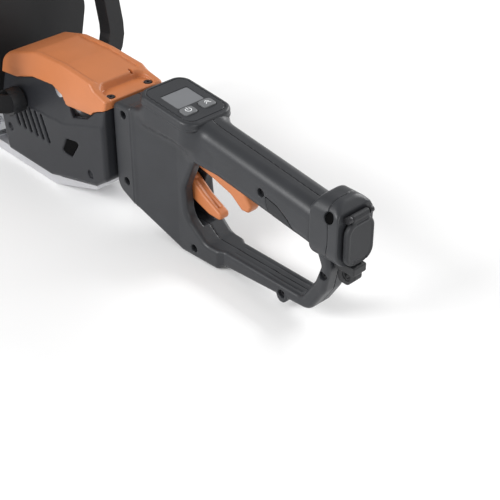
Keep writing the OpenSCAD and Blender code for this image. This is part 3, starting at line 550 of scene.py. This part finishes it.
def cover(x, y, z):
    lid = slab(box2(y, z - 11.5, 15.5, 20.5, 11), x - 275.2, 2.6, 1.6)
    rim = slab(np.abs(box2(y, z - 11.5, 13.6, 18.6, 9.5)) - 1.6, x - 276.5, 1.6, 1.3)
    tab = slab(box2(y, z - 32.5, 9.4, 4.2, 2.5), x - 275.6, 2.3, 1.4)
    shape = join(join(lid, rim, 0.8), tab, 1.5)
    shape = join(shape, rod(x - 275, z - 35.5, y, 2.9, -9, 9, 0.6), 0.8)
    shape = join(shape, rod(y, z - 12, x, 10.9, 271, 276, 0.3), 0.3)
    shape = cut(shape, rod(x - 279.4, z + 6.5, y, 2.6, -8, 8, 0.5), 0.8)
    for k in range(3):
        shape = cut(shape, rod(x - 278.4, z - 36 + 2.6 * k, y, 0.6, -6.5, 6.5, 0.2), 0.2)
    return shape


sculpt("inlet_cover", cover, (270, -18, -12), (280.5, 18, 40), 0.5, "soft_rubber", "socket_cover",
       ["socket_cover"])

HOOK = outline([(258.5, -11, 0), (277, -11, 0), (278, -24, 5), (270, -33, 5), (260, -33, 5), (258.5, -26, 2)])


def hook(x, y, z):
    shape = slab(cut(poly(HOOK, x, z), np.hypot(x - 268.5, z + 24) - 3.1, 0.4), y, 4.5, 1.2)
    shape = join(shape, slab(box2(x - 268, z + 15, 11, 4, 1.5), y, 7.5, 1), 1.5)
    return cut(shape, rod(x - 268.5, z + 24, y, 4.6, -9, -3.2, 0.2), 0.4)


sculpt("hook_bracket", hook, (256, -9, -35), (281, 9, -9), 0.5, "black_plastic", "rear_handle",
       ["cable_hook"])

# ------------------------------------------------------------------ trigger and lever

TRIGGER = outline([(79, 2, 3), (92, 1, 10), (112, -3, 24), (134, -9, 12), (147, -18.5, 3), (155, -18, 4),
                   (159, -11, 4), (148, 4, 12), (126, 14, 12), (80, 18, 3)])
LEVER = outline([(66, -11, 3), (78, -12, 8), (98, -26, 18), (119, -36, 3.5), (120, -43, 3.5), (104, -43, 14),
                 (80, -35, 10), (66, -26, 4)])


def trigger(x, y, z):
    shape = slab(poly(TRIGGER, x, z), y, 6.3, 3)
    shape = cut(shape, wire([(112, -9, -7), (130, -9, -17), (141, -9, -27)], 3.2, x, np.abs(y) - 15, z), 1.5)
    return shape


def lever(x, y, z):
    shape = slab(poly(LEVER, x, z), y, 5.6, 2.4)
    shape = cut(shape, wire([(84, 0, -15.5), (98, 0, -25), (112, 0, -32.5)], 2.1, x, y, z), 1.2)
    return shape


sculpt("trigger_blade", trigger, (76, -8, -30), (163, 8, 21), 0.55, "orange_plastic", "throttle_trigger",
       ["throttle_trigger"])
sculpt("lever_blade", lever, (63, -8, -48), (123, 8, -8), 0.55, "orange_plastic", "release_lever",
       ["release_lever"])

# ------------------------------------------------------------------ motor housing

# Line between the orange cover and the dark sides, from the rear forward
SPLIT = [(-2, 29), (-12, 25), (-18, 22), (-28, 12), (-43, 7), (-52, 4), (-65, 22), (-80, 27), (-112, 24),
         (-140, 14), (-172, 10)]
SIDE = outline([(-2.5, 36, 0), (-2.5, -44, 8), (-22, -57.5, 12), (-78, -72, 10), (-96, -77.5, 6),
                (-170, -77.5, 4), (-176, -40, 20), (-160, 36, 10)])
COVER = outline([(-1.5, 20, 0), (-1.5, 38, 3), (-19, 42, 4), (-26, 47, 6), (-70, 50, 40), (-112, 48, 30),
                 (-160, 34, 24), (-170, 0, 4)])
RECESS = outline([(-41, -18, 2.5), (-63, -22.5, 2.5), (-72, -39.5, 2.5), (-56, -39.5, 2.5)])


def split_height(x):
    xs = [p[0] for p in SPLIT][::-1]
    zs = [p[1] for p in SPLIT][::-1]
    return np.interp(x, xs, zs)


def housing(side):
    def field(x, y, z):
        shoulder = np.interp(x, [-170, -66, -6, 0], [-14, -8, 12, 13])
        lean = 37 - 0.16 * np.maximum(z - shoulder, 0) - 0.9 * (z > shoulder)
        shape = slab(poly(SIDE, x, z), y, 37, 5)
        shape = both(shape, np.abs(y) - lean, 1.2)
        shape = both(shape, z - split_height(x) + 0.25, 0.7)
        trap = slab(poly(RECESS, x, z), np.abs(y) - 37, 2.2, 0.3)
        shape = cut(shape, trap, 0.5)
        # Air slots on each side
        for k in range(6):
            along, above = tilted(x, z, (-98 - 10 * k, -26), 68)
            shape = cut(shape, slab(box2(along, above, 15, 2.1, 2), np.abs(y) - 38, 4, 0.3), 0.4)
        for sx, sz in ((-28, -46.5), (-140, -4), (-160, -48)):
            shape = cut(shape, rod(x - sx, z - sz, -side * y if side > 0 else y, 4.1, -45, -34.6, 0.2), 0.5)
        shape = cut(shape, rod(y, z, x, 20.05, -20, 5, 0.1))
        # Room for the motor and the gears, and round the eccentrics at rest
        shape = cut(shape, slab(poly(SIDE, x, z) + 6, y, 30, 2), 1)
        shape = cut(shape, slab(box2(x + 109, z + 72, 22, 14, 2), y, 30, 2), 1)
        return both(shape, 0.08 - side * y, 0.8)
    return field


for side, label in ((-1, "left"), (1, "right")):
    y0, y1 = (-39, 1) if side < 0 else (-1, 39)
    sculpt("housing_side_" + label, housing(side), (-179, y0, -80), (0, y1, 33), 1.1,
           "housing_plastic", "powerhead", ["housing_" + label])


def side_plate(x, y, z):
    """Dark panels at the bottom of the recess of each side."""
    return slab(poly(RECESS, x, z) + 0.5, np.abs(y) - 35.6, 0.5, 0.2)


sculpt("side_plates", side_plate, (-76, -38, -43), (-38, 38, -15), 0.6, "black_plastic", "powerhead",
       finish=BLACK_AND_SHADE)


def orange_cover(x, y, z):
    shape = slab(poly(COVER, x, z), y, 37, 3)
    lean = np.interp(z, [0, 24, 50], [36.8, 36, 30.5])
    shape = both(shape, np.abs(y) - lean, 3)
    shape = both(shape, split_height(x) + 0.25 - z, 0.7)
    # Shallow channel along the top, between the two side ridges
    channel = box2(x + 95, y, 78, 25, 14)
    shape = cut(shape, np.maximum(channel, -(z - np.interp(x, [-112, -70, -26], [46.3, 48.3, 45.6]))), 1.2)
    # Lowered deck with the two screws
    deck = np.maximum(box2(x - 4, y, 25.5, 25.5, 9) - 0.25 * np.maximum(z - 38, 0), 37.6 - z)
    shape = cut(shape, deck, 1.4)
    shape = cut(shape, slab(box2(x + 23, y - 15, 5, 1.3, 0.8), z - 46, 4, 0.3), 0.4)
    for s in (-1, 1):
        shape = cut(shape, rod(x + 8, y - s * 21.5, z, 4.3, 36.3, 60, 0.2), 0.6)
    return shape


sculpt("orange_top", orange_cover, (-173, -38.5, 2), (1, 38.5, 52), 0.9, "orange_plastic", "powerhead",
       ["top_cover"])

# ------------------------------------------------------------------ parts shown from the CAD

SLOT_OF = {s["node"]: s["material_slot"] for s in frame["record"]["subparts"]}
FINE = {"drive_gear", "pinion", "trigger_spring", "lever_spring", "lever_return_springs", "stator_windings"}
for name, obj in frame["nodes"].items():
    obj.data.materials.clear()
    obj.data.materials.append(FINISH["black_screw" if name == "cover_hinge_pin" else SLOT_OF[name]])
    if obj.hide_render:
        continue
    weld = obj.modifiers.new("weld", "WELD")
    weld.merge_threshold = 0.00001
    if name not in FINE:
        bevel = obj.modifiers.new("bevel", "BEVEL")
        bevel.width = 0.0004 if name in ("upper_blade", "lower_blade", "guide_bar") else 0.0005
        bevel.segments = 2
        bevel.limit_method = "ANGLE"
        bevel.angle_limit = math.radians(40)
        bevel.harden_normals = True

low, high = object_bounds()
